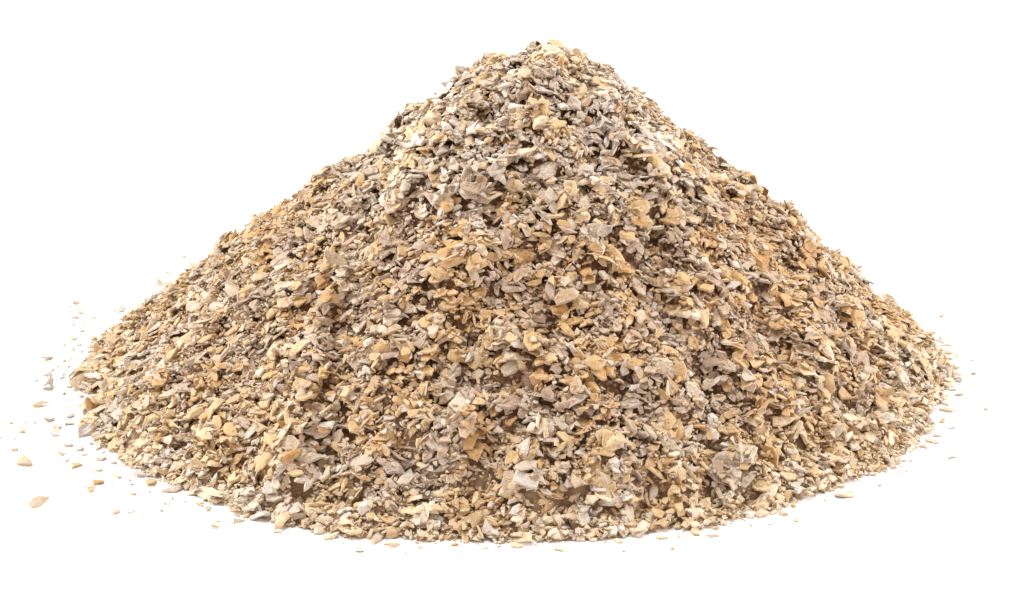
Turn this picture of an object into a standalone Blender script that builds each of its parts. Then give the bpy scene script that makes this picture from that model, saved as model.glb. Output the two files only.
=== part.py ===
"""A heap of crushed oat flakes, as one solid that stands on its flat underside.

Metres, +Z up. The origin is the middle of the base, +X runs along the heap's widest spread,
and the side that the viewer faces looks towards -Y.
"""

import math
import random

import bmesh
import bpy
from mathutils import Matrix, Vector, geometry, noise

MM = 0.001

# Driving sizes of the heap
FOOT_RADIUS = 62.5 * MM
PEAK_HEIGHT = 50.0 * MM
SLOPE = 0.89  # rise over run on the straight flank, about 42 degrees
PEAK_ROUNDING = 0.131  # radius of the blunt peak, as a share of the foot radius
PEAK_SHIFT = 4.3 * MM  # the peak lies this far towards +X from the middle of the base
EDGE_HEIGHT = 1.1 * MM  # about two flakes thick where the heap ends
EDGE_START = 0.95  # share of the foot radius at which the flank rolls off to the floor
UNDERSIDE_INSET = 0.985  # the underside's outline, as a share of the heap's

# The heap isn't a true cone: its foot is a wandering oval, and a shoulder swells on the right
FOOT_WAVES = ((1, 0.030, 0.06), (2, 0.036, 1.12), (3, 0.014, -0.29), (5, 0.007, -0.26), (9, 0.006, 1.0))
LANDFORMS = (  # x, y and reach of each swell or hollow, and its height
    (38.0 * MM, 15.0 * MM, 12.0 * MM, 2.6 * MM),
    (54.0 * MM, 24.0 * MM, 10.0 * MM, -2.2 * MM),
    (-44.0 * MM, 8.0 * MM, 19.0 * MM, -1.4 * MM),
    (-7.0 * MM, 2.0 * MM, 7.0 * MM, 1.1 * MM),
)
LUMPS = ((26.0 * MM, 0.9 * MM), (9.0 * MM, 0.6 * MM))  # wavelength and height

# The smaller core under the flakes that show, with bumps of a flake's size all over it
CORE_SINK = 0.35 * MM
CORE_POINTS = 1600
CORE_REACH = 0.97
RIM_POINTS = 124
RIM_STRAY = 0.016  # how far the foot's points stray, as a share of its radius
BUMP_LIFT = 1.0 * MM
SPIRAL_STRAY = math.radians(0.9)

# The largest flakes, fused on at true size
SLOPE_FLAKES = 184
SLOPE_FLAKE_REACH = 0.95
FLAKE_LENGTH = (3.1 * MM, 4.6 * MM)
FLAKE_WIDTH_SHARE = (0.55, 0.85)
FLAKE_THICKNESS = (0.75 * MM, 1.15 * MM)
FLAKE_TILT = (math.radians(8), math.radians(38))
FLAKE_SINK = 0.2 * MM
FLAKE_SIDES = (4, 5)
FLAKE_TOP_SHARE = 0.86  # the upper face is a little smaller than the lower
CORNER_STRAY = 0.08  # how far a corner strays from a regular outline, as a share of the length
FOOT_FLAKES = 58
FOOT_FLAKE_STRAY = 0.3  # share of their spacing
FOOT_FLAKE_REACH = (0.975, 1.0)
FOOT_FLAKE_TILT = (math.radians(1), math.radians(6))
FOOT_FLAKE_THICKNESS = 0.7 * MM
FOOT_FLAKE_GAP = 0.12 * MM  # they stay this far over the underside's plane

GOLDEN_ANGLE = math.pi * (3 - math.sqrt(5))
INSIDE_ONLY = 1  # the triangulation keeps what lies inside the rim
MERGE_DISTANCE = 1e-7
SEED = 11
OAT_COLOUR = (0.56, 0.38, 0.20, 1.0)
OAT_ROUGHNESS = 0.85


def clear_scene():
    for old in list(bpy.data.objects):
        bpy.data.objects.remove(old)


def collection_named(name):
    made = bpy.data.collections.new(name)
    bpy.context.scene.collection.children.link(made)
    return made


def object_from(mesh_editor, name, collection):
    mesh = bpy.data.meshes.new(name)
    mesh_editor.to_mesh(mesh)
    mesh_editor.free()
    made = bpy.data.objects.new(name, mesh)
    collection.objects.link(made)
    return made


def foot_radius(angle):
    """The wandering outline where the heap meets the floor."""
    return FOOT_RADIUS * (1 + sum(a * math.sin(n * angle + p) for n, a, p in FOOT_WAVES))


def share_of_slope(x, y):
    """0 at the peak and 1 at the foot, measured from a middle that leans towards the peak."""
    share = math.hypot(x, y) / FOOT_RADIUS
    for _ in range(4):
        dx = x - PEAK_SHIFT * max(0.0, 1 - share)
        share = math.hypot(dx, y) / foot_radius(math.atan2(y, dx))
    return share


def swelling(x, y):
    """Lumps and hollows of a poured heap, with the shoulder on its right flank."""
    forms = sum(
        height * math.exp(-((x - middle_x) ** 2 + (y - middle_y) ** 2) / reach**2)
        for middle_x, middle_y, reach, height in LANDFORMS
    )
    lumps = sum(
        height * noise.noise(Vector((x / length, y / length, length / MM)))
        for length, height in LUMPS
    )
    return forms + lumps


def heap_height(x, y):
    """Height of the heap's surface over the floor."""
    share = share_of_slope(x, y)
    rounded = math.hypot(share, PEAK_ROUNDING) - PEAK_ROUNDING
    flank = PEAK_HEIGHT - SLOPE * FOOT_RADIUS * rounded
    fade = min(1.0, max(0.0, (1 - share) / (1 - EDGE_START)))
    inner = max(flank + swelling(x, y) * fade, EDGE_HEIGHT)
    return EDGE_HEIGHT + (inner - EDGE_HEIGHT) * math.sqrt(fade * (2 - fade))


def heap_normal(x, y):
    step = 1.5 * MM
    rise_x = (heap_height(x + step, y) - heap_height(x - step, y)) / (2 * step)
    rise_y = (heap_height(x, y + step) - heap_height(x, y - step)) / (2 * step)
    return Vector((-rise_x, -rise_y, 1)).normalized()


def spiral(rng, count, reach):
    """Shares of the slope and angles along a sunflower's spiral, spread evenly over the heap."""
    for k in range(count):
        angle = k * GOLDEN_ANGLE + rng.uniform(-1, 1) * SPIRAL_STRAY
        yield reach * math.sqrt((k + 0.5) / count), angle


def place_on_heap(share, angle):
    reach = share * foot_radius(angle)
    return Vector((reach * math.cos(angle) + PEAK_SHIFT * (1 - share), reach * math.sin(angle)))


def make_core(rng, collection):
    """Facets of a flake's size over the whole slope, closed by a flat underside."""
    rim = [
        place_on_heap(rng.uniform(1 - RIM_STRAY, 1 + RIM_STRAY), math.tau * k / RIM_POINTS)
        for k in range(RIM_POINTS)
    ]
    inner = [place_on_heap(*place) for place in spiral(rng, CORE_POINTS, CORE_REACH)]
    corners, _, facets, *_ = geometry.delaunay_2d_cdt(
        rim + inner, [], [list(range(RIM_POINTS))], INSIDE_ONLY, MERGE_DISTANCE
    )
    sheet = bmesh.new()
    for corner in corners:
        bump = rng.uniform(-1, 1) * BUMP_LIFT - CORE_SINK
        loose = min(1.0, max(0.0, 1 - share_of_slope(*corner)) / (1 - EDGE_START))
        sheet.verts.new((*corner, heap_height(*corner) + bump * loose))
    sheet.verts.ensure_lookup_table()
    for facet in facets:
        sheet.faces.new([sheet.verts[k] for k in facet])
    outline = [edge for edge in sheet.edges if edge.is_boundary]
    turned = bmesh.ops.extrude_edge_only(sheet, edges=outline)["geom"]
    for corner in turned:
        if isinstance(corner, bmesh.types.BMVert):
            corner.co = (corner.co.x * UNDERSIDE_INSET, corner.co.y * UNDERSIDE_INSET, 0)
    bmesh.ops.holes_fill(sheet, edges=[edge for edge in sheet.edges if edge.is_boundary])
    bmesh.ops.recalc_face_normals(sheet, faces=sheet.faces)
    return object_from(sheet, "oat_heap", collection)


def flake_mesh(rng, length, width, thickness):
    """A chip of a rolled flake: an uneven plate of four or five sides."""
    chip = bmesh.new()
    bmesh.ops.create_cone(
        chip,
        cap_ends=True,
        segments=rng.choice(FLAKE_SIDES),
        radius1=0.5,
        radius2=0.5 * FLAKE_TOP_SHARE,
        depth=1.0,
    )
    for corner in chip.verts:
        corner.co += Vector((rng.uniform(-1, 1), rng.uniform(-1, 1), 0)) * CORNER_STRAY
    bmesh.ops.scale(chip, vec=(length, width, thickness), verts=chip.verts)
    return chip


def add_flake(rng, collection, place, up, tilt, thickness):
    """One flake centred on place, leaning from the direction up by an angle in the range tilt."""
    length = rng.uniform(*FLAKE_LENGTH)
    width = length * rng.uniform(*FLAKE_WIDTH_SHARE)
    chip = flake_mesh(rng, length, width, thickness)
    lean_axis = Vector((rng.uniform(-1, 1), rng.uniform(-1, 1), 0.01)).normalized()
    turn = (
        up.to_track_quat("Z", "Y").to_matrix()
        @ Matrix.Rotation(rng.uniform(*tilt), 3, lean_axis)
        @ Matrix.Rotation(rng.uniform(0, math.tau), 3, "Z")
    )
    flake = object_from(chip, f"flake_{len(collection.objects):03d}", collection)
    flake.matrix_world = Matrix.Translation(place) @ turn.to_4x4()
    return flake


def scatter_on_slope(rng, collection):
    """The largest flakes, spread evenly over the slope."""
    for share, angle in spiral(rng, SLOPE_FLAKES, SLOPE_FLAKE_REACH):
        x, y = place_on_heap(share, angle)
        place = Vector((x, y, heap_height(x, y)))
        up = heap_normal(x, y)
        thickness = rng.uniform(*FLAKE_THICKNESS)
        add_flake(rng, collection, place - up * FLAKE_SINK, up, FLAKE_TILT, thickness)


def lay_fringe(rng, collection):
    """Flat flakes half out of the foot, which make its outline uneven."""
    for k in range(FOOT_FLAKES):
        stray = rng.uniform(-1, 1) * FOOT_FLAKE_STRAY
        angle = math.tau * (k + stray) / FOOT_FLAKES
        place = place_on_heap(rng.uniform(*FOOT_FLAKE_REACH), angle).to_3d()
        up = Vector((0, 0, 1))
        flake = add_flake(rng, collection, place, up, FOOT_FLAKE_TILT, FOOT_FLAKE_THICKNESS)
        lowest = min((flake.matrix_world @ corner.co).z for corner in flake.data.vertices)
        flake.location.z += FOOT_FLAKE_GAP - lowest


def fuse(core, flakes):
    """Joins the flakes to the core in one union, and keeps only the joined solid."""
    union = core.modifiers.new("fused_flakes", "BOOLEAN")
    union.operation = "UNION"
    union.operand_type = "COLLECTION"
    union.collection = flakes
    union.solver = "EXACT"
    bpy.context.view_layer.update()
    graph = bpy.context.evaluated_depsgraph_get()
    joined = bpy.data.meshes.new_from_object(core.evaluated_get(graph))
    core.modifiers.clear()
    core.data = joined
    for flake in list(flakes.objects):
        bpy.data.objects.remove(flake)
    bpy.data.collections.remove(flakes)


def drop_loose_scraps(solid):
    """Keeps the largest joined body and removes any scrap or sealed hollow beside it."""
    editor = bmesh.new()
    editor.from_mesh(solid.data)
    unseen = set(editor.verts)
    bodies = []
    while unseen:
        waiting = [unseen.pop()]
        body = set(waiting)
        while waiting:
            for edge in waiting.pop().link_edges:
                for other in edge.verts:
                    if other in unseen:
                        unseen.discard(other)
                        body.add(other)
                        waiting.append(other)
        bodies.append(body)
    bodies.sort(key=len)
    scraps = [corner for body in bodies[:-1] for corner in body]
    bmesh.ops.delete(editor, geom=scraps, context="VERTS")
    editor.to_mesh(solid.data)
    editor.free()


def centre_on_base(solid):
    """Puts the middle of the heap's outline over the origin, standing on the floor."""
    places = [corner.co for corner in solid.data.vertices]
    low = Vector(min(p[i] for p in places) for i in range(3))
    high = Vector(max(p[i] for p in places) for i in range(3))
    middle = (low + high) / 2
    solid.data.transform(Matrix.Translation((-middle.x, -middle.y, -low.z)))


def oat_material():
    oats = bpy.data.materials.new("oat_flakes")
    oats.use_nodes = True
    surface = oats.node_tree.nodes["Principled BSDF"]
    surface.inputs["Base Color"].default_value = OAT_COLOUR
    surface.inputs["Roughness"].default_value = OAT_ROUGHNESS
    surface.inputs["Metallic"].default_value = 0.0
    return oats


def main():
    clear_scene()
    rng = random.Random(SEED)
    heap = collection_named("heap_of_crushed_oats")
    flakes = collection_named("largest_flakes")
    core = make_core(rng, heap)
    scatter_on_slope(rng, flakes)
    lay_fringe(rng, flakes)
    fuse(core, flakes)
    drop_loose_scraps(core)
    centre_on_base(core)
    core.data.materials.clear()
    core.data.materials.append(oat_material())


main()
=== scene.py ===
"""A heap of crushed oat flakes: a relief core, the flakes laid on it in batches from the smallest to
the largest, and the loose ones round its foot. Metres, +Z up, the viewer looks along +Y."""

import math

import bpy
import numpy as np
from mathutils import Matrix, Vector
from mathutils.bvhtree import BVHTree


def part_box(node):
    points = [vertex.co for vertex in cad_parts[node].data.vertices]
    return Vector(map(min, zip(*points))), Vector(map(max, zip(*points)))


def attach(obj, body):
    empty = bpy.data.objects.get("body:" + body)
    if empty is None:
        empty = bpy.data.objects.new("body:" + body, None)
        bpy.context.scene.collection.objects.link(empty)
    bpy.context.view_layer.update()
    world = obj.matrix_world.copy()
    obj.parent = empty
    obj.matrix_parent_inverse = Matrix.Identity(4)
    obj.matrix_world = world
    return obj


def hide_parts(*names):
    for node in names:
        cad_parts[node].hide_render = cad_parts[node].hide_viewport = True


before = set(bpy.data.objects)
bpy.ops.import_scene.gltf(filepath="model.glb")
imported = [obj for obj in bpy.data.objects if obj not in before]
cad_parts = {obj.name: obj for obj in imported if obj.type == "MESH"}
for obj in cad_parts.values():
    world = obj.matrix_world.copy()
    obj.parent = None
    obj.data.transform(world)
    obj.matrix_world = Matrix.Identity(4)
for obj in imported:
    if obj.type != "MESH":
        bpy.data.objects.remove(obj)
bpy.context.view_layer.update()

MM = 0.001
NODE = "oat_heap"
SEED = 29

# The photograph's view
IMAGE_WIDTH = 1024
CAMERA_DISTANCE = 422 * MM
CAMERA_RISE = math.radians(20.8)
PIXELS_PER_METRE = 6609  # at the middle of the heap's base
AIM = Vector((-0.3 * MM, 0, 11.3 * MM))

# The plan grid on which the flakes are laid
GRID = 0.2 * MM
SOLID_STEP = 3  # the solid's heights are read at every third cell
MARGIN = 14 * MM
FORM_BLUR = 1.6 * MM  # takes the solid's own bumps off its form
LAYER_DEPTH = 2.7 * MM  # the flakes are laid this deep over a smooth start
COVER = 1.0 * MM  # the core's relief stays at least this far under the level
LEVEL_SPREAD = 0.35 * MM  # how far a flake's own level strays from the heap's
HUMPS = ((1.3 * MM, 0.75 * MM), (3.0 * MM, 0.70 * MM))  # blur and height of the heap's own unevenness
HUMPS_FADE = 4 * MM  # they fade out where the heap is lower than this
CRAG = dict(x=3.4 * MM, y=-1.0 * MM, width=2.2 * MM, height=1.7 * MM)  # on the peak
RELIEF_ROUNDS = 7
FLAKE_ROUNDS = 15

# Flakes by size: half length, half width as a share of it, thickness, how far they lean in degrees,
# and the blur of the surface whose slope they follow. Lengths are in millimetres.
SIZES = {
    "fine": dict(reach=(0.28, 0.50), slim=(0.45, 0.95), thick=(0.16, 0.34), lean=38, smooth=0.5),
    "small": dict(reach=(0.50, 0.88), slim=(0.38, 0.92), thick=(0.16, 0.37), lean=35, smooth=0.7),
    "medium": dict(reach=(0.88, 1.46), slim=(0.36, 0.80), thick=(0.18, 0.40), lean=31, smooth=1.1),
    "large": dict(reach=(1.46, 2.25), slim=(0.38, 0.72), thick=(0.20, 0.44), lean=25, smooth=1.8),
}
BATCHES = {"fine": 3, "small": 4, "medium": 6, "large": 3}  # in each round
TRIES = {"fine": 3, "small": 3, "medium": 3, "large": 2}  # places tried for each flake
LEAST_LEVEL = 0.5 * MM  # the heap's foot ends here
GAP_DEPTH = 0.7 * MM  # fine and small flakes also drop into gaps deeper than this
SLIVERS = 0.14  # share of flakes that are slivers
SLIVER_WIDTH = 0.42  # of another flake's width
TILE_ROOM = 1.25  # a tile allows for flakes this much over the longest
TILE = 2.05  # and is this many of their half lengths wide
TRIAL_SHIFT = 0.35  # share of the longest half length by which a flake's place is varied
FOOTPRINT = 0.8  # share of its oval that a flake covers
LEVELLING = (-0.2, 0.8)  # 0 lies along the slope, 1 lies level
BEDDING = 0.1  # a flake's middle lies this many spreads of the ground's bumps above their mean
STEEPEST = 0.22  # least upward share of a flake's normal
SEEN_DEPTH = 0.6 * MM  # what lies deeper under other flakes is buried
SHOWN_SHARE = 0.08  # flakes with less to see are left out
AT_ONCE = 4000  # flakes looked at together
SHARP_ANGLE = 32

# How uneven each flake's outline and bend are, as shares of its own measures
CORNER_TURN = 0.38  # of the way to the next corner
CORNER_REACH = (0.62, 1.16)
EDGE_THICKNESS = (0.4, 1.0)
ARCHED = (0.1, 1.0)  # of its kind's dome
TWIST = 0.2
FOLD = 0.35
FOLDED_SHARE = 0.45
CREASE = 0.3  # the fold lies at most this far off the middle
TOP_SHARE = (0.84, 1.0)  # the upper face is a little smaller than the lower
RING_SHARE = (0.45, 0.7)
RING_RIM = 0.3  # how much the inner ring counts as rim
OFF_MIDDLE = 0.16

# Tones, from 0 at the darkest, painted light at the foot and the peak, and kinds
DRIFT = 1.3 * MM  # flakes this near one another tend to be of one kind and tone
DRIFT_SHARE = 0.55
TONE = 0.42
TONE_SPREAD = 0.24
TONE_LIMIT = 1.3  # over 1, even the dark spots of a flake are pale
DARKEST_SHARE = 0.03  # this share of the flakes has the darkest tone
FOOT_FADE = 6 * MM  # painted light makes the foot's flakes paler, and the foot has more amber flakes, over about this height
# painted light: how much paler the flakes are made at the foot and at the peak
FOOT_PAINTED_LIGHT = 0.75
FOOT_AMBER = 1.1
PEAK_START = 29 * MM  # painted light makes the peak's flakes paler from this height on
PEAK_FADE = 10 * MM
PEAK_PAINTED_LIGHT = 0.50

# The core's surface
CORE_STEPS = 140  # corners along each side of its square grid
CORE_SINK = 0.1 * MM
CORE_BLUR = 0.35 * MM
CORE_LEAST = 0.02 * MM  # least height inside its edge
CORE_EDGE = 0.25 * MM  # the core ends where the ground is lower than this
CORE_SEARCH = (1.06, 0.6, 231)  # its edge is sought from outside in, in shares of the solid's oval
TOP_SQUARE = (0.01, 0.78)  # start and size in the texture
UNDER_SQUARE = (0.81, 0.18)

# Loose flakes round the foot
STRAYS = 1500  # tries
STRAY_REACH = 1.2 * MM
LEFT_SIDE = -0.6  # this far to the left in a unit circle, and on, strays lie the thickest
STRAY_REACH_LEFT = 2.4  # as a share of the reach elsewhere
STRAY_SHARE_ELSEWHERE = 0.5
STRAY_SIZES = (0.34, 0.33, 0.26, 0.07)  # share of each size, the smallest first
STRAY_SPACING = 0.9  # share of their longest half lengths that two strays keep apart
STRAY_LEAN = 8  # degrees
BARE_FLOOR = 0.25 * MM  # the floor is free where the ground is lower than this
STRAY_ROOM = dict(left=7.6 * MM, right=4.6 * MM, aside=4.4 * MM)  # past the solid's box
SEEN_STRAYS = (  # x and y in millimetres, size: those that the photograph shows plainly
    (67.3, 7.8, "large"), (-69.6, -12.9, "medium"), (-70.6, 13.2, "medium"), (-69.5, -5.6, "large"),
    (-20.0, -64.0, "medium"), (-3.8, -63.2, "small"), (37.5, -54.6, "small"), (-39.4, -57.0, "small"),
    (68.6, 26.7, "small"), (66.2, -8.6, "small"),
)


def between(rng, ends, count):
    return rng.uniform(ends[0], ends[1], count)


def unit(vectors):
    return vectors / np.linalg.norm(vectors, axis=-1, keepdims=True)


class Plan:
    """Heights, tones and painted light over a plan grid, and the level that the heap should reach."""

    def __init__(self, rng):
        low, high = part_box(NODE)
        self.left = low.x - MARGIN
        self.front = low.y - MARGIN
        self.columns = int((high.x + MARGIN - self.left) / GRID)
        self.rows = int((high.y + MARGIN - self.front) / GRID)
        form = np.maximum(self.blurred(self.solid_heights(), FORM_BLUR), 0)
        fade = np.clip(form / HUMPS_FADE, 0, 1)
        self.level = form + fade * sum(self.humps(rng, *hump) for hump in HUMPS)
        x = self.left + np.arange(self.columns)[None, :] * GRID - CRAG["x"]
        y = self.front + np.arange(self.rows)[:, None] * GRID - CRAG["y"]
        self.level += CRAG["height"] * np.exp(-(x**2 + y**2) / (2 * CRAG["width"] ** 2))
        self.ground = np.maximum(self.level - LAYER_DEPTH, 0)
        self.tone_drift = self.humps(rng, DRIFT, 1)
        self.kind_drift = self.humps(rng, DRIFT, 1)
        self.foot = np.exp(-form / FOOT_FADE)
        near_peak = np.clip((form - PEAK_START) / PEAK_FADE, 0, 1)
        # painted light: flakes are made paler near the foot and near the peak
        self.painted_light = FOOT_PAINTED_LIGHT * self.foot + PEAK_PAINTED_LIGHT * near_peak

    def solid_heights(self):
        """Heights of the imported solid, from rays straight down."""
        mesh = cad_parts[NODE].data
        tree = BVHTree.FromPolygons(
            [corner.co for corner in mesh.vertices], [face.vertices for face in mesh.polygons]
        )
        step = SOLID_STEP
        down = Vector((0, 0, -1))
        coarse = np.zeros((self.rows // step + 1, self.columns // step + 1))
        for row in range(coarse.shape[0]):
            for column in range(coarse.shape[1]):
                x, y = self.left + column * step * GRID, self.front + row * step * GRID
                hit = tree.ray_cast(Vector((x, y, 1)), down)[0]
                coarse[row, column] = hit.z if hit else 0
        return np.kron(coarse, np.ones((step, step)))[: self.rows, : self.columns]

    def blurred(self, field, radius):
        """The field under a soft round blur of that radius."""
        down = np.fft.fftfreq(field.shape[0], GRID)[:, None]
        across = np.fft.rfftfreq(field.shape[1], GRID)[None, :]
        softness = np.exp(-2 * (math.pi * radius) ** 2 * (down**2 + across**2))
        return np.fft.irfft2(np.fft.rfft2(field) * softness, field.shape)

    def humps(self, rng, radius, height):
        """Random soft humps and hollows of about that height."""
        rough = self.blurred(rng.normal(size=(self.rows, self.columns)), radius)
        return rough * height / rough.std()

    def cell(self, x, y):
        column = np.clip(((x - self.left) / GRID + 0.5).astype(int), 0, self.columns - 1)
        row = np.clip(((y - self.front) / GRID + 0.5).astype(int), 0, self.rows - 1)
        return row, column

    def at(self, field, x, y):
        return field[self.cell(x, y)]


def normals_of(field):
    """Upward unit normals of a height field."""
    rise_y, rise_x = np.gradient(field, GRID)
    length = np.sqrt(rise_x**2 + rise_y**2 + 1)
    return np.stack([-rise_x / length, -rise_y / length, 1 / length], axis=-1)


# Flakes are kept as arrays, one entry for each flake

def joined(batches):
    return {key: np.concatenate([batch[key] for batch in batches]) for key in batches[0]}


def picked(flakes, which):
    return {key: values[which] for key, values in flakes.items()}


def chosen(better, first, second):
    """Takes each flake from second where better, and from first elsewhere."""
    return {
        key: np.where(better.reshape((-1,) + (1,) * (first[key].ndim - 1)), second[key], first[key])
        for key in first
    }


def turned(rng, normals, lean):
    """Frames of flakes that lean at random from the given normals: long side, short side, normal."""
    count = len(normals)
    aside = unit(np.cross(normals, unit(rng.normal(size=(count, 3)))))
    angle = np.abs(rng.normal(0, math.radians(lean), count))[:, None]
    facing = unit(normals * np.cos(angle) + aside * np.sin(angle))
    steep = facing[:, 2] < STEEPEST
    facing[steep] = normals[steep]
    long_side = unit(np.cross(facing, unit(rng.normal(size=(count, 3)))))
    return long_side, np.cross(facing, long_side), facing


def drifting(rng, field):
    """Random numbers about 0 that follow the field in part."""
    return DRIFT_SHARE * field + math.sqrt(1 - DRIFT_SHARE**2) * rng.normal(size=field.shape)


def make_flakes(rng, plan, size, x, y, normals, lean):
    shape = SIZES[size]
    count = len(x)
    half = between(rng, shape["reach"], count) * MM
    slim = between(rng, shape["slim"], count)
    slim *= np.where(rng.random(count) < SLIVERS, SLIVER_WIDTH, 1)
    level = between(rng, LEVELLING, count)[:, None]
    normals = unit(normals * (1 - level) + np.array((0, 0, 1)) * level)
    long_side, short_side, normal = turned(rng, normals, lean)
    # a flake's random paleness, plus painted light at the foot and the peak
    tone_and_painted_light = TONE + TONE_SPREAD * drifting(rng, plan.at(plan.tone_drift, x, y)) + plan.at(plan.painted_light, x, y)
    return {
        "x": x,
        "y": y,
        "half": half,
        "side": half * slim,
        "thick": between(rng, shape["thick"], count) * MM,
        "long": long_side,
        "short": short_side,
        "normal": normal,
        "tone_and_painted_light": np.clip(tone_and_painted_light, 0, TONE_LIMIT) * (rng.random(count) > DARKEST_SHARE),
        "kind": drifting(rng, plan.at(plan.kind_drift, x, y)) - FOOT_AMBER * plan.at(plan.foot, x, y),
    }


# Laying

def tile_places(rng, plan, reach):
    """One place in every other tile of a grid, so that no two flakes of a batch overlap."""
    tile = TILE * reach + GRID
    shift = rng.integers(0, 2, 2)
    across = np.arange(shift[0], int(plan.columns * GRID / tile), 2)
    along = np.arange(shift[1], int(plan.rows * GRID / tile), 2)
    grid = np.array(np.meshgrid(across, along)).reshape(2, -1).T
    places = (grid + rng.uniform(0, 1, grid.shape)) * tile
    return plan.left + places[:, 0], plan.front + places[:, 1]


def footprints(plan, flakes):
    """Grid cells under each flake, the rise of its middle plane there, and which cells it covers."""
    steps = int(flakes["half"].max() / GRID) + 1
    offsets = np.arange(-steps, steps + 1)
    row, column = plan.cell(flakes["x"], flakes["y"])
    rows = np.clip(row[:, None, None] + offsets[None, :, None], 0, plan.rows - 1)
    columns = np.clip(column[:, None, None] + offsets[None, None, :], 0, plan.columns - 1)
    rows, columns = np.broadcast_arrays(rows, columns)
    dx = plan.left + columns * GRID - flakes["x"][:, None, None]
    dy = plan.front + rows * GRID - flakes["y"][:, None, None]
    nx, ny, nz = (flakes["normal"][:, k, None, None] for k in range(3))
    dz = -(nx * dx + ny * dy) / nz

    def along(side, half):
        x, y, z = (side[:, k, None, None] for k in range(3))
        return (dx * x + dy * y + dz * z) / half[:, None, None]

    oval = along(flakes["long"], flakes["half"]) ** 2 + along(flakes["short"], flakes["side"]) ** 2
    covered = oval < FOOTPRINT
    covered[:, steps, steps] = True
    return rows, columns, dz, covered


def settle(plan, flakes):
    """Lowers each flake into the bumps of what lies there, and gives its cells and their new tops."""
    rows, columns, dz, covered = footprints(plan, flakes)
    drop = flakes["thick"] / 2 / flakes["normal"][:, 2]
    below = (plan.ground[rows, columns] - dz) * covered
    count = covered.sum(axis=(1, 2))
    mean = below.sum(axis=(1, 2)) / count
    spread = np.sqrt(np.maximum((below**2).sum(axis=(1, 2)) / count - mean**2, 0))
    flakes["z"] = mean + BEDDING * spread + drop
    return rows, columns, covered, (flakes["z"] + drop)[:, None, None] + dz


def lay(plan, flakes):
    """Settles flakes that don't overlap one another, and makes them part of what lies there."""
    rows, columns, covered, top = settle(plan, flakes)
    higher = covered & (top > plan.ground[rows, columns])
    plan.ground[rows[higher], columns[higher]] = top[higher]


def lay_batch(rng, plan, size, x, y, normals):
    """Lays one batch of flakes, each at the deepest of a few places near its own."""
    best = None
    for _ in range(TRIES[size]):
        stray = rng.uniform(-1, 1, (2, len(x))) * SIZES[size]["reach"][1] * MM * TRIAL_SHIFT
        tried_x, tried_y = x + stray[0], y + stray[1]
        lying = plan.at(normals, tried_x, tried_y)
        flakes = make_flakes(rng, plan, size, tried_x, tried_y, lying, SIZES[size]["lean"])
        settle(plan, flakes)
        flakes["proud"] = flakes["z"] - plan.at(plan.level, tried_x, tried_y)
        best = flakes if best is None else chosen(flakes["proud"] < best["proud"], best, flakes)
    lay(plan, best)
    return best


def lay_rounds(rng, plan, rounds, lowered):
    """Lays flakes of all sizes in turn, wherever the heap is still below its level, lowered that much."""
    laid = {size: [] for size in SIZES}
    for _ in range(rounds):
        for size, shape in SIZES.items():
            surface = plan.blurred(plan.ground, shape["smooth"] * MM)
            normals = normals_of(surface)
            for _ in range(BATCHES[size]):
                x, y = tile_places(rng, plan, shape["reach"][1] * MM * TILE_ROOM)
                level = plan.at(plan.level, x, y)
                proud = rng.normal(-lowered, LEVEL_SPREAD, len(x))
                room = level + proud > plan.at(surface, x, y)
                if size in ("fine", "small"):
                    room |= level - lowered - GAP_DEPTH > plan.at(plan.ground, x, y)
                room &= level > LEAST_LEVEL
                if room.any():
                    laid[size].append(lay_batch(rng, plan, size, x[room], y[room], normals))
    return {size: joined(batches) for size, batches in laid.items()}


def shown(plan, flakes):
    """The share of each flake that isn't buried."""
    shares = []
    for start in range(0, len(flakes["x"]), AT_ONCE):
        part = picked(flakes, slice(start, start + AT_ONCE))
        rows, columns, dz, covered = footprints(plan, part)
        drop = part["thick"] / 2 / part["normal"][:, 2]
        top = (part["z"] + drop)[:, None, None] + dz
        seen = covered & (top > plan.ground[rows, columns] - SEEN_DEPTH)
        shares.append(seen.sum(axis=(1, 2)) / covered.sum(axis=(1, 2)))
    return np.concatenate(shares)


# Meshes of many flakes

FORMS = {
    "large": dict(sides=8, ring=True, middle=True, under=True),
    "medium": dict(sides=6, ring=False, middle=True, under=False),
    "small": dict(sides=5, ring=False, middle=False, under=False),
    "fine": dict(sides=3, ring=False, middle=False, under=False),
}

# Places of a flake's faces in its own square of the texture
TOP_SPOT, UNDER_SPOT = np.array((0.34, 0.64)), np.array((0.82, 0.72))
RIM_SIZE, RING_SIZE, UNDER_SIZE = 0.30, 0.19, 0.15
SIDE_START, SIDE_LENGTH, SIDE_HEIGHT = 0.04, 0.92, 0.18


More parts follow.
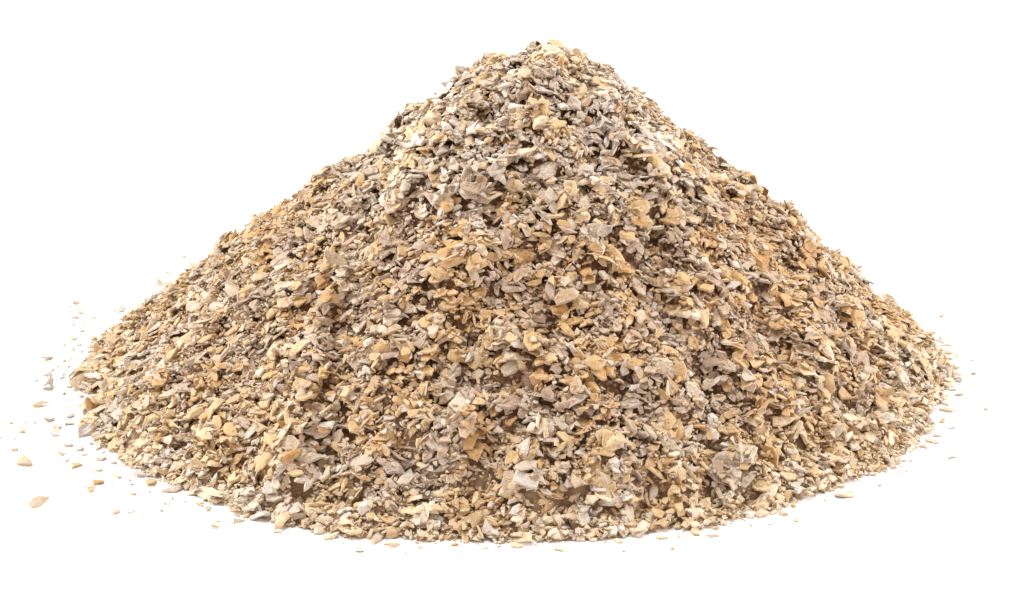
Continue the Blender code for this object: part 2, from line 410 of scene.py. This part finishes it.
def flake_pattern(sides, ring, middle, under):
    """Triangles of one flake, and their places in its own square of the texture.

    Its corners are the top rim, the bottom rim, the inner ring, the top middle and the bottom middle."""
    turn = np.arange(sides) * math.tau / sides
    circle = np.stack([np.cos(turn), np.sin(turn)], axis=-1)
    rim_spots = TOP_SPOT + RIM_SIZE * circle
    ring_spots = TOP_SPOT + RING_SIZE * circle
    under_spots = UNDER_SPOT + UNDER_SIZE * circle
    ring_start = 2 * sides
    middle_at = ring_start + (sides if ring else 0)
    under_at = middle_at + (1 if middle else 0)
    inner, inner_spots = (ring_start, ring_spots) if ring else (0, rim_spots)
    faces, places = [], []

    def add(corners, spots):
        faces.append(corners)
        places.append(spots)

    def side_spot(k, high):
        return (SIDE_START + SIDE_LENGTH * k / sides, SIDE_START + SIDE_HEIGHT * high)

    for k in range(sides):
        after = (k + 1) % sides
        add((k, sides + k, sides + after), (side_spot(k, 1), side_spot(k, 0), side_spot(k + 1, 0)))
        add((k, sides + after, after), (side_spot(k, 1), side_spot(k + 1, 0), side_spot(k + 1, 1)))
        if ring:
            add((k, after, ring_start + after), (rim_spots[k], rim_spots[after], ring_spots[after]))
            add((k, ring_start + after, ring_start + k), (rim_spots[k], ring_spots[after], ring_spots[k]))
        if middle:
            add((inner + k, inner + after, middle_at), (inner_spots[k], inner_spots[after], TOP_SPOT))
        elif 0 < k < sides - 1:
            add((inner, inner + k, inner + k + 1), (inner_spots[0], inner_spots[k], inner_spots[k + 1]))
        if under:
            add((sides + after, sides + k, under_at), (under_spots[after], under_spots[k], UNDER_SPOT))
        elif 0 < k < sides - 1:
            add((sides, sides + k + 1, sides + k), (under_spots[0], under_spots[k + 1], under_spots[k]))
    return np.array(faces), np.array(places), under_at + (1 if under else 0)


def flake_corners(rng, flakes, form, dome, rough, on_floor):
    """Corner places of every flake, and how near each corner is to the flake's rim."""
    count, sides = len(flakes["x"]), form["sides"]
    half, side, thick = (flakes[key][:, None] for key in ("half", "side", "thick"))
    angle = (np.arange(sides) + rng.uniform(-CORNER_TURN, CORNER_TURN, (count, sides))) * math.tau / sides
    radius = rng.uniform(*CORNER_REACH, (count, sides))
    along, aside = np.cos(angle) * radius, np.sin(angle) * radius
    edge = rng.uniform(*EDGE_THICKNESS, (count, sides))
    arch = dome * side * rng.uniform(*ARCHED, (count, 1))
    turn = rng.uniform(0, math.tau, (count, 2))
    twist = rng.normal(0, TWIST, (count, 1)) * half
    fold = rng.normal(0, FOLD, (count, 1)) * half * (rng.random((count, 1)) < FOLDED_SHARE)
    crease = rng.uniform(-CREASE, CREASE, (count, 1))

    def bent(a, b):
        """The twist, arch and fold there, each over or under its middling height."""
        across = a * np.cos(turn[:, :1]) + b * np.sin(turn[:, :1])
        over = a * np.cos(turn[:, 1:]) + b * np.sin(turn[:, 1:])
        folded = fold * (np.abs(over - crease) - 0.3)
        return twist * (across**2 - 0.35) - arch * (a**2 + b**2 - 0.4) + folded

    def ruffle(columns):
        return rng.normal(0, rough, (count, columns)) * thick

    parts, rims = [], []

    def add(a, b, height, rim):
        parts.append(np.stack([a * half, b * side, height + bent(a, b)], axis=-1))
        rims.append(np.full(a.shape, rim))

    slant = rng.uniform(*TOP_SHARE, (count, sides))
    add(along * slant, aside * slant, thick / 2 * edge + ruffle(sides) * 0.5, 1.0)
    add(along, aside, -thick / 2 * edge, 1.0)
    if form["ring"]:
        inward = rng.uniform(*RING_SHARE, (count, sides))
        add(along * inward, aside * inward, thick / 2 + ruffle(sides), RING_RIM)
    off = rng.uniform(-OFF_MIDDLE, OFF_MIDDLE, (count, 2))
    if form["middle"]:
        add(off[:, :1], off[:, 1:], thick / 2 + ruffle(1), 0.0)
    if form["under"]:
        add(off[:, :1], off[:, 1:], -thick / 2 + ruffle(1) * 0.5, 0.0)
    local = np.concatenate(parts, axis=1)
    place = np.stack([flakes["x"], flakes["y"], flakes["z"]], axis=-1)[:, None, :]
    world = (
        place
        + local[..., 0:1] * flakes["long"][:, None, :]
        + local[..., 1:2] * flakes["short"][:, None, :]
        + local[..., 2:3] * flakes["normal"][:, None, :]
    )
    lowest = world[..., 2].min(axis=1)[:, None]
    world[..., 2] -= lowest if on_floor else np.minimum(lowest, 0)
    return world, np.concatenate(rims, axis=1)


def mesh_from(name, corners, faces, places, fields):
    """A mesh object from arrays: triangles, their texture places, and values on its corners."""
    mesh = bpy.data.meshes.new(name)
    mesh.vertices.add(len(corners))
    mesh.vertices.foreach_set("co", corners.astype(np.float32).ravel())
    mesh.loops.add(faces.size)
    mesh.loops.foreach_set("vertex_index", faces.astype(np.int32).ravel())
    mesh.polygons.add(len(faces))
    mesh.polygons.foreach_set("loop_start", np.arange(0, faces.size, 3, dtype=np.int32))
    mesh.update(calc_edges=True)
    mesh.uv_layers.new(name="OFBake").data.foreach_set("uv", places.astype(np.float32).ravel())
    for field, values in fields.items():
        layer = mesh.attributes.new(field, "FLOAT", "POINT")
        layer.data.foreach_set("value", values.astype(np.float32).ravel())
    mesh.shade_smooth()
    mesh.set_sharp_from_angle(angle=math.radians(SHARP_ANGLE))
    made = bpy.data.objects.new(name, mesh)
    bpy.context.scene.collection.objects.link(made)
    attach(made, "root")
    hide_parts(NODE)
    return made


def scattered(rng, name, groups, kind, on_floor):
    """One object of many flakes of one kind, of one or more sizes."""
    look = KINDS[kind]
    total = sum(len(flakes["x"]) for _, flakes in groups)
    across = math.ceil(math.sqrt(total))
    corners, faces, places, tones, rims = [], [], [], [], []
    first_corner = first_flake = 0
    for size, flakes in groups:
        count = len(flakes["x"])
        pattern, spots, per_flake = flake_pattern(**FORMS[size])
        world, rim = flake_corners(rng, flakes, FORMS[size], look["dome"], look["rough"], on_floor)
        corners.append(world.reshape(-1, 3))
        starts = first_corner + np.arange(count)[:, None, None] * per_flake
        faces.append((pattern[None] + starts).reshape(-1, 3))
        number = first_flake + np.arange(count)
        square = np.stack([number % across, number // across], axis=-1)[:, None, None, :]
        places.append(((spots[None] + square) / across).reshape(-1, 2))
        tones.append(np.repeat(flakes["tone_and_painted_light"], per_flake))
        rims.append(rim.ravel())
        first_corner += count * per_flake
        first_flake += count
    fields = {"tone_and_painted_light": np.concatenate(tones), "rim": np.concatenate(rims)}
    made = mesh_from(name, np.concatenate(corners), np.concatenate(faces), np.concatenate(places), fields)
    made.data.materials.append(look["material"])


# Materials

class Shader:
    """The node graph of one dry, rough material."""

    def __init__(self, name, roughness):
        self.material = bpy.data.materials.new(name)
        self.material.use_nodes = True
        self.nodes, self.links = self.material.node_tree.nodes, self.material.node_tree.links
        self.surface = self.nodes["Principled BSDF"]
        self.surface.inputs["Roughness"].default_value = roughness
        self.surface.inputs["Specular IOR Level"].default_value = 0.35
        self.place = self.nodes.new("ShaderNodeTexCoord").outputs["Object"]

    def plug(self, socket, value):
        if isinstance(value, tuple):
            socket.default_value = (*value, 1) if len(socket.default_value) == 4 else value
        elif isinstance(value, (int, float)):
            socket.default_value = value
        else:
            self.links.new(value, socket)

    def attribute(self, name):
        node = self.nodes.new("ShaderNodeAttribute")
        node.attribute_name = name
        return node.outputs["Fac"]

    def noise(self, scale, detail, rough):
        node = self.nodes.new("ShaderNodeTexNoise")
        given = {"Scale": scale, "Detail": detail, "Roughness": rough, "Vector": self.place}
        for socket, value in given.items():
            self.plug(node.inputs[socket], value)
        return node

    def chips(self, scale, stretch, ragged):
        """Ragged cells like small chips: a random number for each, and the distance from its middle."""
        warp = self.nodes.new("ShaderNodeVectorMath")
        warp.operation = "MULTIPLY_ADD"
        self.plug(warp.inputs[0], self.noise(scale, 2, 0.6).outputs["Color"])
        self.plug(warp.inputs[1], (ragged, ragged, ragged))
        self.plug(warp.inputs[2], self.place)
        squeezed = self.nodes.new("ShaderNodeVectorMath")
        squeezed.operation = "MULTIPLY"
        self.plug(squeezed.inputs[0], warp.outputs[0])
        self.plug(squeezed.inputs[1], stretch)
        node = self.nodes.new("ShaderNodeTexVoronoi")
        self.plug(node.inputs["Vector"], squeezed.outputs[0])
        self.plug(node.inputs["Scale"], scale)
        chance = self.nodes.new("ShaderNodeSeparateColor")
        self.plug(chance.inputs["Color"], node.outputs["Color"])
        return chance.outputs["Red"], node.outputs["Distance"]

    def sums(self, operation, first, second):
        node = self.nodes.new("ShaderNodeMath")
        node.operation = operation
        node.use_clamp = True
        self.plug(node.inputs[0], first)
        self.plug(node.inputs[1], second)
        return node.outputs[0]

    def ranged(self, value, low, high):
        node = self.nodes.new("ShaderNodeMapRange")
        given = {"Value": value, "From Min": low, "From Max": high}
        for socket, number in given.items():
            self.plug(node.inputs[socket], number)
        return node.outputs["Result"]

    def mixed(self, factor, first, second):
        node = self.nodes.new("ShaderNodeMix")
        node.data_type = "RGBA"
        for socket, value in ((0, factor), (6, first), (7, second)):
            self.plug(node.inputs[socket], value)
        return node.outputs[2]

    def ramp(self, value, stops):
        node = self.nodes.new("ShaderNodeValToRGB")
        while len(node.color_ramp.elements) < len(stops):
            node.color_ramp.elements.new(0.5)
        for element, (place, colour) in zip(node.color_ramp.elements, stops):
            element.position = place
            element.color = (*colour, 1)
        self.plug(node.inputs["Fac"], value)
        return node.outputs["Color"]

    def finish(self, colour, height, relief):
        bump = self.nodes.new("ShaderNodeBump")
        self.plug(bump.inputs["Height"], height)
        self.plug(bump.inputs["Distance"], relief * MM)
        self.plug(self.surface.inputs["Base Color"], colour)
        self.plug(self.surface.inputs["Normal"], bump.outputs["Normal"])
        return self.material


def oat_material(name, tones, rim_colour, rim_share, speck_colour, speck_share, roughness, bump):
    """Dry flakes: each of its own paleness, with painted light at the foot and the peak, mottled, paler at
    its broken rim, with flecks.
    """
    shader = Shader(name, roughness)
    mottle = shader.ranged(shader.noise(1500, 3, 0.75).outputs["Fac"], 0.3, 0.7)
    # the flake's paleness includes painted light at the foot and the peak
    own_tone_and_painted_light = shader.sums("MULTIPLY", shader.attribute("tone_and_painted_light"), 0.56)
    colour = shader.ramp(shader.sums("ADD", own_tone_and_painted_light, shader.sums("MULTIPLY", mottle, 0.44)), tones)
    broken = shader.sums("MULTIPLY", shader.attribute("rim"), shader.noise(1800, 2, 0.6).outputs["Fac"])
    edge = shader.sums("MULTIPLY", shader.ranged(broken, 0.28, 0.62), rim_share)
    flecks = shader.ranged(shader.noise(3600, 2, 0.7).outputs["Fac"], 0.57, 0.68)
    colour = shader.mixed(edge, colour, rim_colour)
    colour = shader.mixed(shader.sums("MULTIPLY", flecks, speck_share), colour, speck_colour)
    return shader.finish(colour, shader.noise(2300, 4, 0.7).outputs["Fac"], bump)


def painted_shade_core_material(name, tones, gap_painted_shade, foot_painted_light, roughness, bump):
    """What shows between the flakes: small chips in painted shade, darker than the flakes, with darker
    painted shade in the gaps between them, and painted light making them paler near the foot.
    """
    shader = Shader(name, roughness)
    chance, distance = shader.chips(1350, (1.0, 1.0, 1.5), 0.5 * MM)
    mottle = shader.sums("MULTIPLY", shader.noise(3000, 3, 0.7).outputs["Fac"], 0.4)
    colour = shader.ramp(shader.sums("ADD", shader.sums("MULTIPLY", chance, 0.8), mottle), tones)
    # painted shade: the gaps between the chips are darkened, and also sunk in the bump
    gap = shader.ranged(distance, 0.36, 0.62)
    height = shader.sums("SUBTRACT", shader.sums("MULTIPLY", chance, 0.8), gap)
    colour = shader.mixed(gap, colour, gap_painted_shade)
    # painted light: the under layer is made paler near the foot
    return shader.finish(shader.mixed(shader.attribute("foot"), colour, foot_painted_light), height, bump)


def plain_material(name, colour, roughness):
    shader = Shader(name, roughness)
    shader.plug(shader.surface.inputs["Base Color"], colour)
    return shader.material


AMBER = oat_material(
    "amber_oats",
    tones=(
        (0.0, (0.27, 0.12, 0.035)), (0.3, (0.505, 0.298, 0.105)),
        (0.7, (0.595, 0.45, 0.258)), (1.0, (0.69, 0.615, 0.505)),
    ),
    rim_colour=(0.68, 0.55, 0.40), rim_share=0.5, speck_colour=(0.30, 0.16, 0.07), speck_share=0.3,
    roughness=0.55, bump=0.16,
)
CREAM = oat_material(
    "cream_oats",
    tones=(
        (0.0, (0.38, 0.25, 0.14)), (0.3, (0.56, 0.42, 0.28)),
        (0.7, (0.635, 0.57, 0.485)), (1.0, (0.70, 0.67, 0.635)),
    ),
    rim_colour=(0.70, 0.61, 0.50), rim_share=0.4, speck_colour=(0.42, 0.28, 0.17), speck_share=0.45,
    roughness=0.9, bump=0.26,
)
GREY = oat_material(
    "grey_oats",
    tones=(
        (0.0, (0.28, 0.18, 0.115)), (0.3, (0.45, 0.325, 0.225)),
        (0.7, (0.54, 0.46, 0.385)), (1.0, (0.61, 0.57, 0.535)),
    ),
    rim_colour=(0.64, 0.54, 0.43), rim_share=0.5, speck_colour=(0.28, 0.18, 0.12), speck_share=0.4,
    roughness=0.85, bump=0.24,
)
# The under layer's browns are painted shade, darker than the flakes and darkest in the gaps; near the foot
# painted light makes it paler
CORE_PAINTED_SHADE = painted_shade_core_material(
    "under_layer_painted_shade",
    tones=(
        (0.2, (0.20, 0.105, 0.055)), (0.45, (0.32, 0.20, 0.115)),
        (0.7, (0.47, 0.345, 0.225)), (0.95, (0.62, 0.52, 0.40)),
    ),
    gap_painted_shade=(0.125, 0.063, 0.036), foot_painted_light=(0.66, 0.50, 0.33), roughness=0.9, bump=0.6,
)
KINDS = {
    "amber": dict(share=0.50, dome=0.30, rough=0.14, material=AMBER),
    "cream": dict(share=0.30, dome=0.10, rough=0.34, material=CREAM),
    "grey": dict(share=0.20, dome=0.14, rough=0.32, material=GREY),
}
PIECES = {"flakes": ("large", "medium"), "chips": ("small",), "crumbs": ("fine",)}


def make_pieces(rng, laid, suffixes, on_floor):
    """One object for each kind of flake and each group of sizes."""
    split = {}
    shares = np.cumsum([look["share"] for look in KINDS.values()])[:-1]
    for size, flakes in laid.items():
        order = (flakes["kind"].argsort().argsort() + 0.5) / len(flakes["x"])
        kind = np.searchsorted(shares, order)
        for k, name in enumerate(KINDS):
            split[name, size] = picked(flakes, kind == k)
    for kind in KINDS:
        for suffix, sizes in suffixes.items():
            groups = [(size, split[kind, size]) for size in sizes]
            scattered(rng, f"{kind}_{suffix}", groups, kind, on_floor)


def core_outline(plan):
    """How far the core reaches from its middle, as a share of the solid's oval, in each direction."""
    low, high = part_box(NODE)
    reach_x, reach_y = (high.x - low.x) / 2, (high.y - low.y) / 2
    turn = np.linspace(0, math.tau, 721)
    shares = np.linspace(*CORE_SEARCH)[:, None]
    heights = plan.at(plan.ground, reach_x * np.cos(turn) * shares, reach_y * np.sin(turn) * shares)
    edge = shares[(heights > CORE_EDGE).argmax(axis=0), 0]
    soft = np.exp(-np.linspace(-2, 2, 9) ** 2)
    edge = np.convolve(np.concatenate([edge[-5:-1], edge, edge[1:5]]), soft / soft.sum(), "valid")
    return reach_x, reach_y, turn, edge


def make_core(plan):
    """The relief core: what the first rounds laid, as one closed surface on a flat underside.

    A square grid is drawn out to the heap's oval, ring by ring, with all its cells of about one size."""
    reach_x, reach_y, turn, edge = core_outline(plan)
    steps = np.linspace(-1, 1, CORE_STEPS)
    a, b = (grid.ravel() for grid in np.meshgrid(steps, steps))
    wide = np.abs(a) > np.abs(b)
    ring = np.where(wide, a, b)
    quarter = np.where(wide, b, a) / np.where(ring == 0, 1, ring) * math.pi / 4
    quarter = np.where(wide, quarter, math.pi / 2 - quarter)
    unit_x, unit_y = ring * np.cos(quarter), ring * np.sin(quarter)
    share = np.interp(np.arctan2(unit_y, unit_x) % math.tau, turn, edge)
    x, y = reach_x * share * unit_x, reach_y * share * unit_y
    rim = np.maximum(np.abs(a), np.abs(b)) > 0.9999
    relief = plan.blurred(plan.ground, CORE_BLUR)
    heights = np.where(rim, 0, np.maximum(plan.at(relief, x, y) - CORE_SINK, CORE_LEAST))
    corners = np.column_stack([x, y, heights])
    index = np.arange(CORE_STEPS**2).reshape(CORE_STEPS, CORE_STEPS)
    corner, right, above, far = index[:-1, :-1], index[:-1, 1:], index[1:, :-1], index[1:, 1:]
    top = np.concatenate(
        [np.stack(three, axis=-1).reshape(-1, 3) for three in ((corner, right, far), (corner, far, above))]
    )
    border = np.concatenate([index[0, :-1], index[:-1, -1], index[-1, :0:-1], index[:0:-1, 0]])
    centre = len(corners)
    under = np.column_stack([np.roll(border, -1), border, np.full(len(border), centre)])
    corners = np.vstack([corners, (x.mean(), y.mean(), 0)])
    spots = np.vstack([np.column_stack([a, b]) * 0.5 + 0.5, (0.5, 0.5)])
    places = np.concatenate(
        [start + size * spots[faces] for (start, size), faces in ((TOP_SQUARE, top), (UNDER_SQUARE, under))]
    )
    # how near the foot each corner is, for the painted light that makes the under layer paler there
    fields = {"foot": np.append(plan.at(plan.foot, x, y), 0)}
    core = mesh_from("heap_core", corners, np.concatenate([top, under]), places, fields)
    # its material is painted shade, with painted light near the foot
    core.data.materials.append(CORE_PAINTED_SHADE)


def make_strays(rng, plan):
    """Loose flakes and crumbs on the floor, thinning out from the foot, none of them overlapping."""
    names = list(SIZES)
    reach_x, reach_y, turn, edge = core_outline(plan)
    angle = rng.uniform(0, math.tau, STRAYS)
    left = np.cos(angle) < LEFT_SIDE
    away = rng.exponential(STRAY_REACH, STRAYS) * np.where(left, STRAY_REACH_LEFT, 1)
    share = np.interp(angle, turn, edge)
    x = np.append([seen[0] * MM for seen in SEEN_STRAYS], (reach_x * share + away) * np.cos(angle))
    y = np.append([seen[1] * MM for seen in SEEN_STRAYS], (reach_y * share + away) * np.sin(angle))
    size = np.append([names.index(seen[2]) for seen in SEEN_STRAYS], rng.choice(4, STRAYS, p=STRAY_SIZES))
    reach = np.array([shape["reach"][1] * MM for shape in SIZES.values()])[size]
    low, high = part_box(NODE)
    inside = (
        (x - reach > low.x - STRAY_ROOM["left"])
        & (x + reach < high.x + STRAY_ROOM["right"])
        & (np.abs(y) + reach < high.y + STRAY_ROOM["aside"])
    )
    free = plan.at(plan.ground, x, y) < BARE_FLOOR
    free &= np.append(np.ones(len(SEEN_STRAYS), bool), left | (rng.random(STRAYS) < STRAY_SHARE_ELSEWHERE))
    taken = []
    for k in np.flatnonzero(inside & free):
        if all(math.hypot(x[k] - x[j], y[k] - y[j]) > STRAY_SPACING * (reach[k] + reach[j]) for j in taken):
            taken.append(k)
    taken = np.array(taken)
    laid = {}
    for number, name in enumerate(names):
        own = taken[size[taken] == number]
        up = np.tile((0.0, 0.0, 1.0), (len(own), 1))
        laid[name] = make_flakes(rng, plan, name, x[own], y[own], up, STRAY_LEAN)
        lay(plan, laid[name])
    return laid


def build_heap():
    rng = np.random.default_rng(SEED)
    plan = Plan(rng)
    lay_rounds(rng, plan, RELIEF_ROUNDS, COVER)
    make_core(plan)
    laid = lay_rounds(rng, plan, FLAKE_ROUNDS, 0)
    seen = {size: picked(flakes, shown(plan, flakes) > SHOWN_SHARE) for size, flakes in laid.items()}
    make_pieces(rng, seen, PIECES, False)
    make_pieces(rng, make_strays(rng, plan), {"strays": tuple(SIZES)}, True)


def lay_floor():
    bpy.ops.mesh.primitive_plane_add(size=6, location=(0, 0, 0))
    floor = bpy.context.object
    floor.name = "floor"
    floor.data.materials.append(plain_material("pale_floor", (0.93, 0.925, 0.94), 0.7))


def set_lights():
    world = bpy.data.worlds.new("soft_studio")
    bpy.context.scene.world = world
    world.use_nodes = True
    sky = world.node_tree.nodes["Background"]
    sky.inputs["Color"].default_value = (1.0, 0.715, 0.55, 1)
    sky.inputs["Strength"].default_value = 0.59

    def soft_box(name, place, size, power, colour):
        lamp = bpy.data.lights.new(name, "AREA")
        lamp.shape = "SQUARE"
        lamp.size = size
        lamp.energy = power
        lamp.color = colour
        made = bpy.data.objects.new(name, lamp)
        made.location = place
        made.rotation_euler = (Vector((0, 0, 0.02)) - Vector(place)).to_track_quat("-Z", "Y").to_euler()
        bpy.context.scene.collection.objects.link(made)

    soft_box("key", (-0.26, 0.27, 1.2), 0.45, 16.2, (0.89, 0.96, 1.0))
    soft_box("left", (-0.85, 0.12, 0.36), 0.6, 10.5, (1.0, 0.98, 0.92))
    soft_box("right", (0.85, 0.16, 0.36), 0.6, 11.5, (1.0, 0.98, 0.94))


def set_camera():
    lens = bpy.data.cameras.new("camera")
    camera = bpy.data.objects.new("camera", lens)
    bpy.context.scene.collection.objects.link(camera)
    camera.location = (0, -CAMERA_DISTANCE * math.cos(CAMERA_RISE), CAMERA_DISTANCE * math.sin(CAMERA_RISE))
    camera.rotation_euler = (AIM - camera.location).to_track_quat("-Z", "Y").to_euler()
    lens.sensor_width = 36
    lens.lens = 36 * PIXELS_PER_METRE * CAMERA_DISTANCE / IMAGE_WIDTH
    lens.clip_start = 0.01
    bpy.context.scene.camera = camera


bpy.context.scene.view_settings.view_transform = "Standard"
set_camera()
set_lights()
lay_floor()
build_heap()
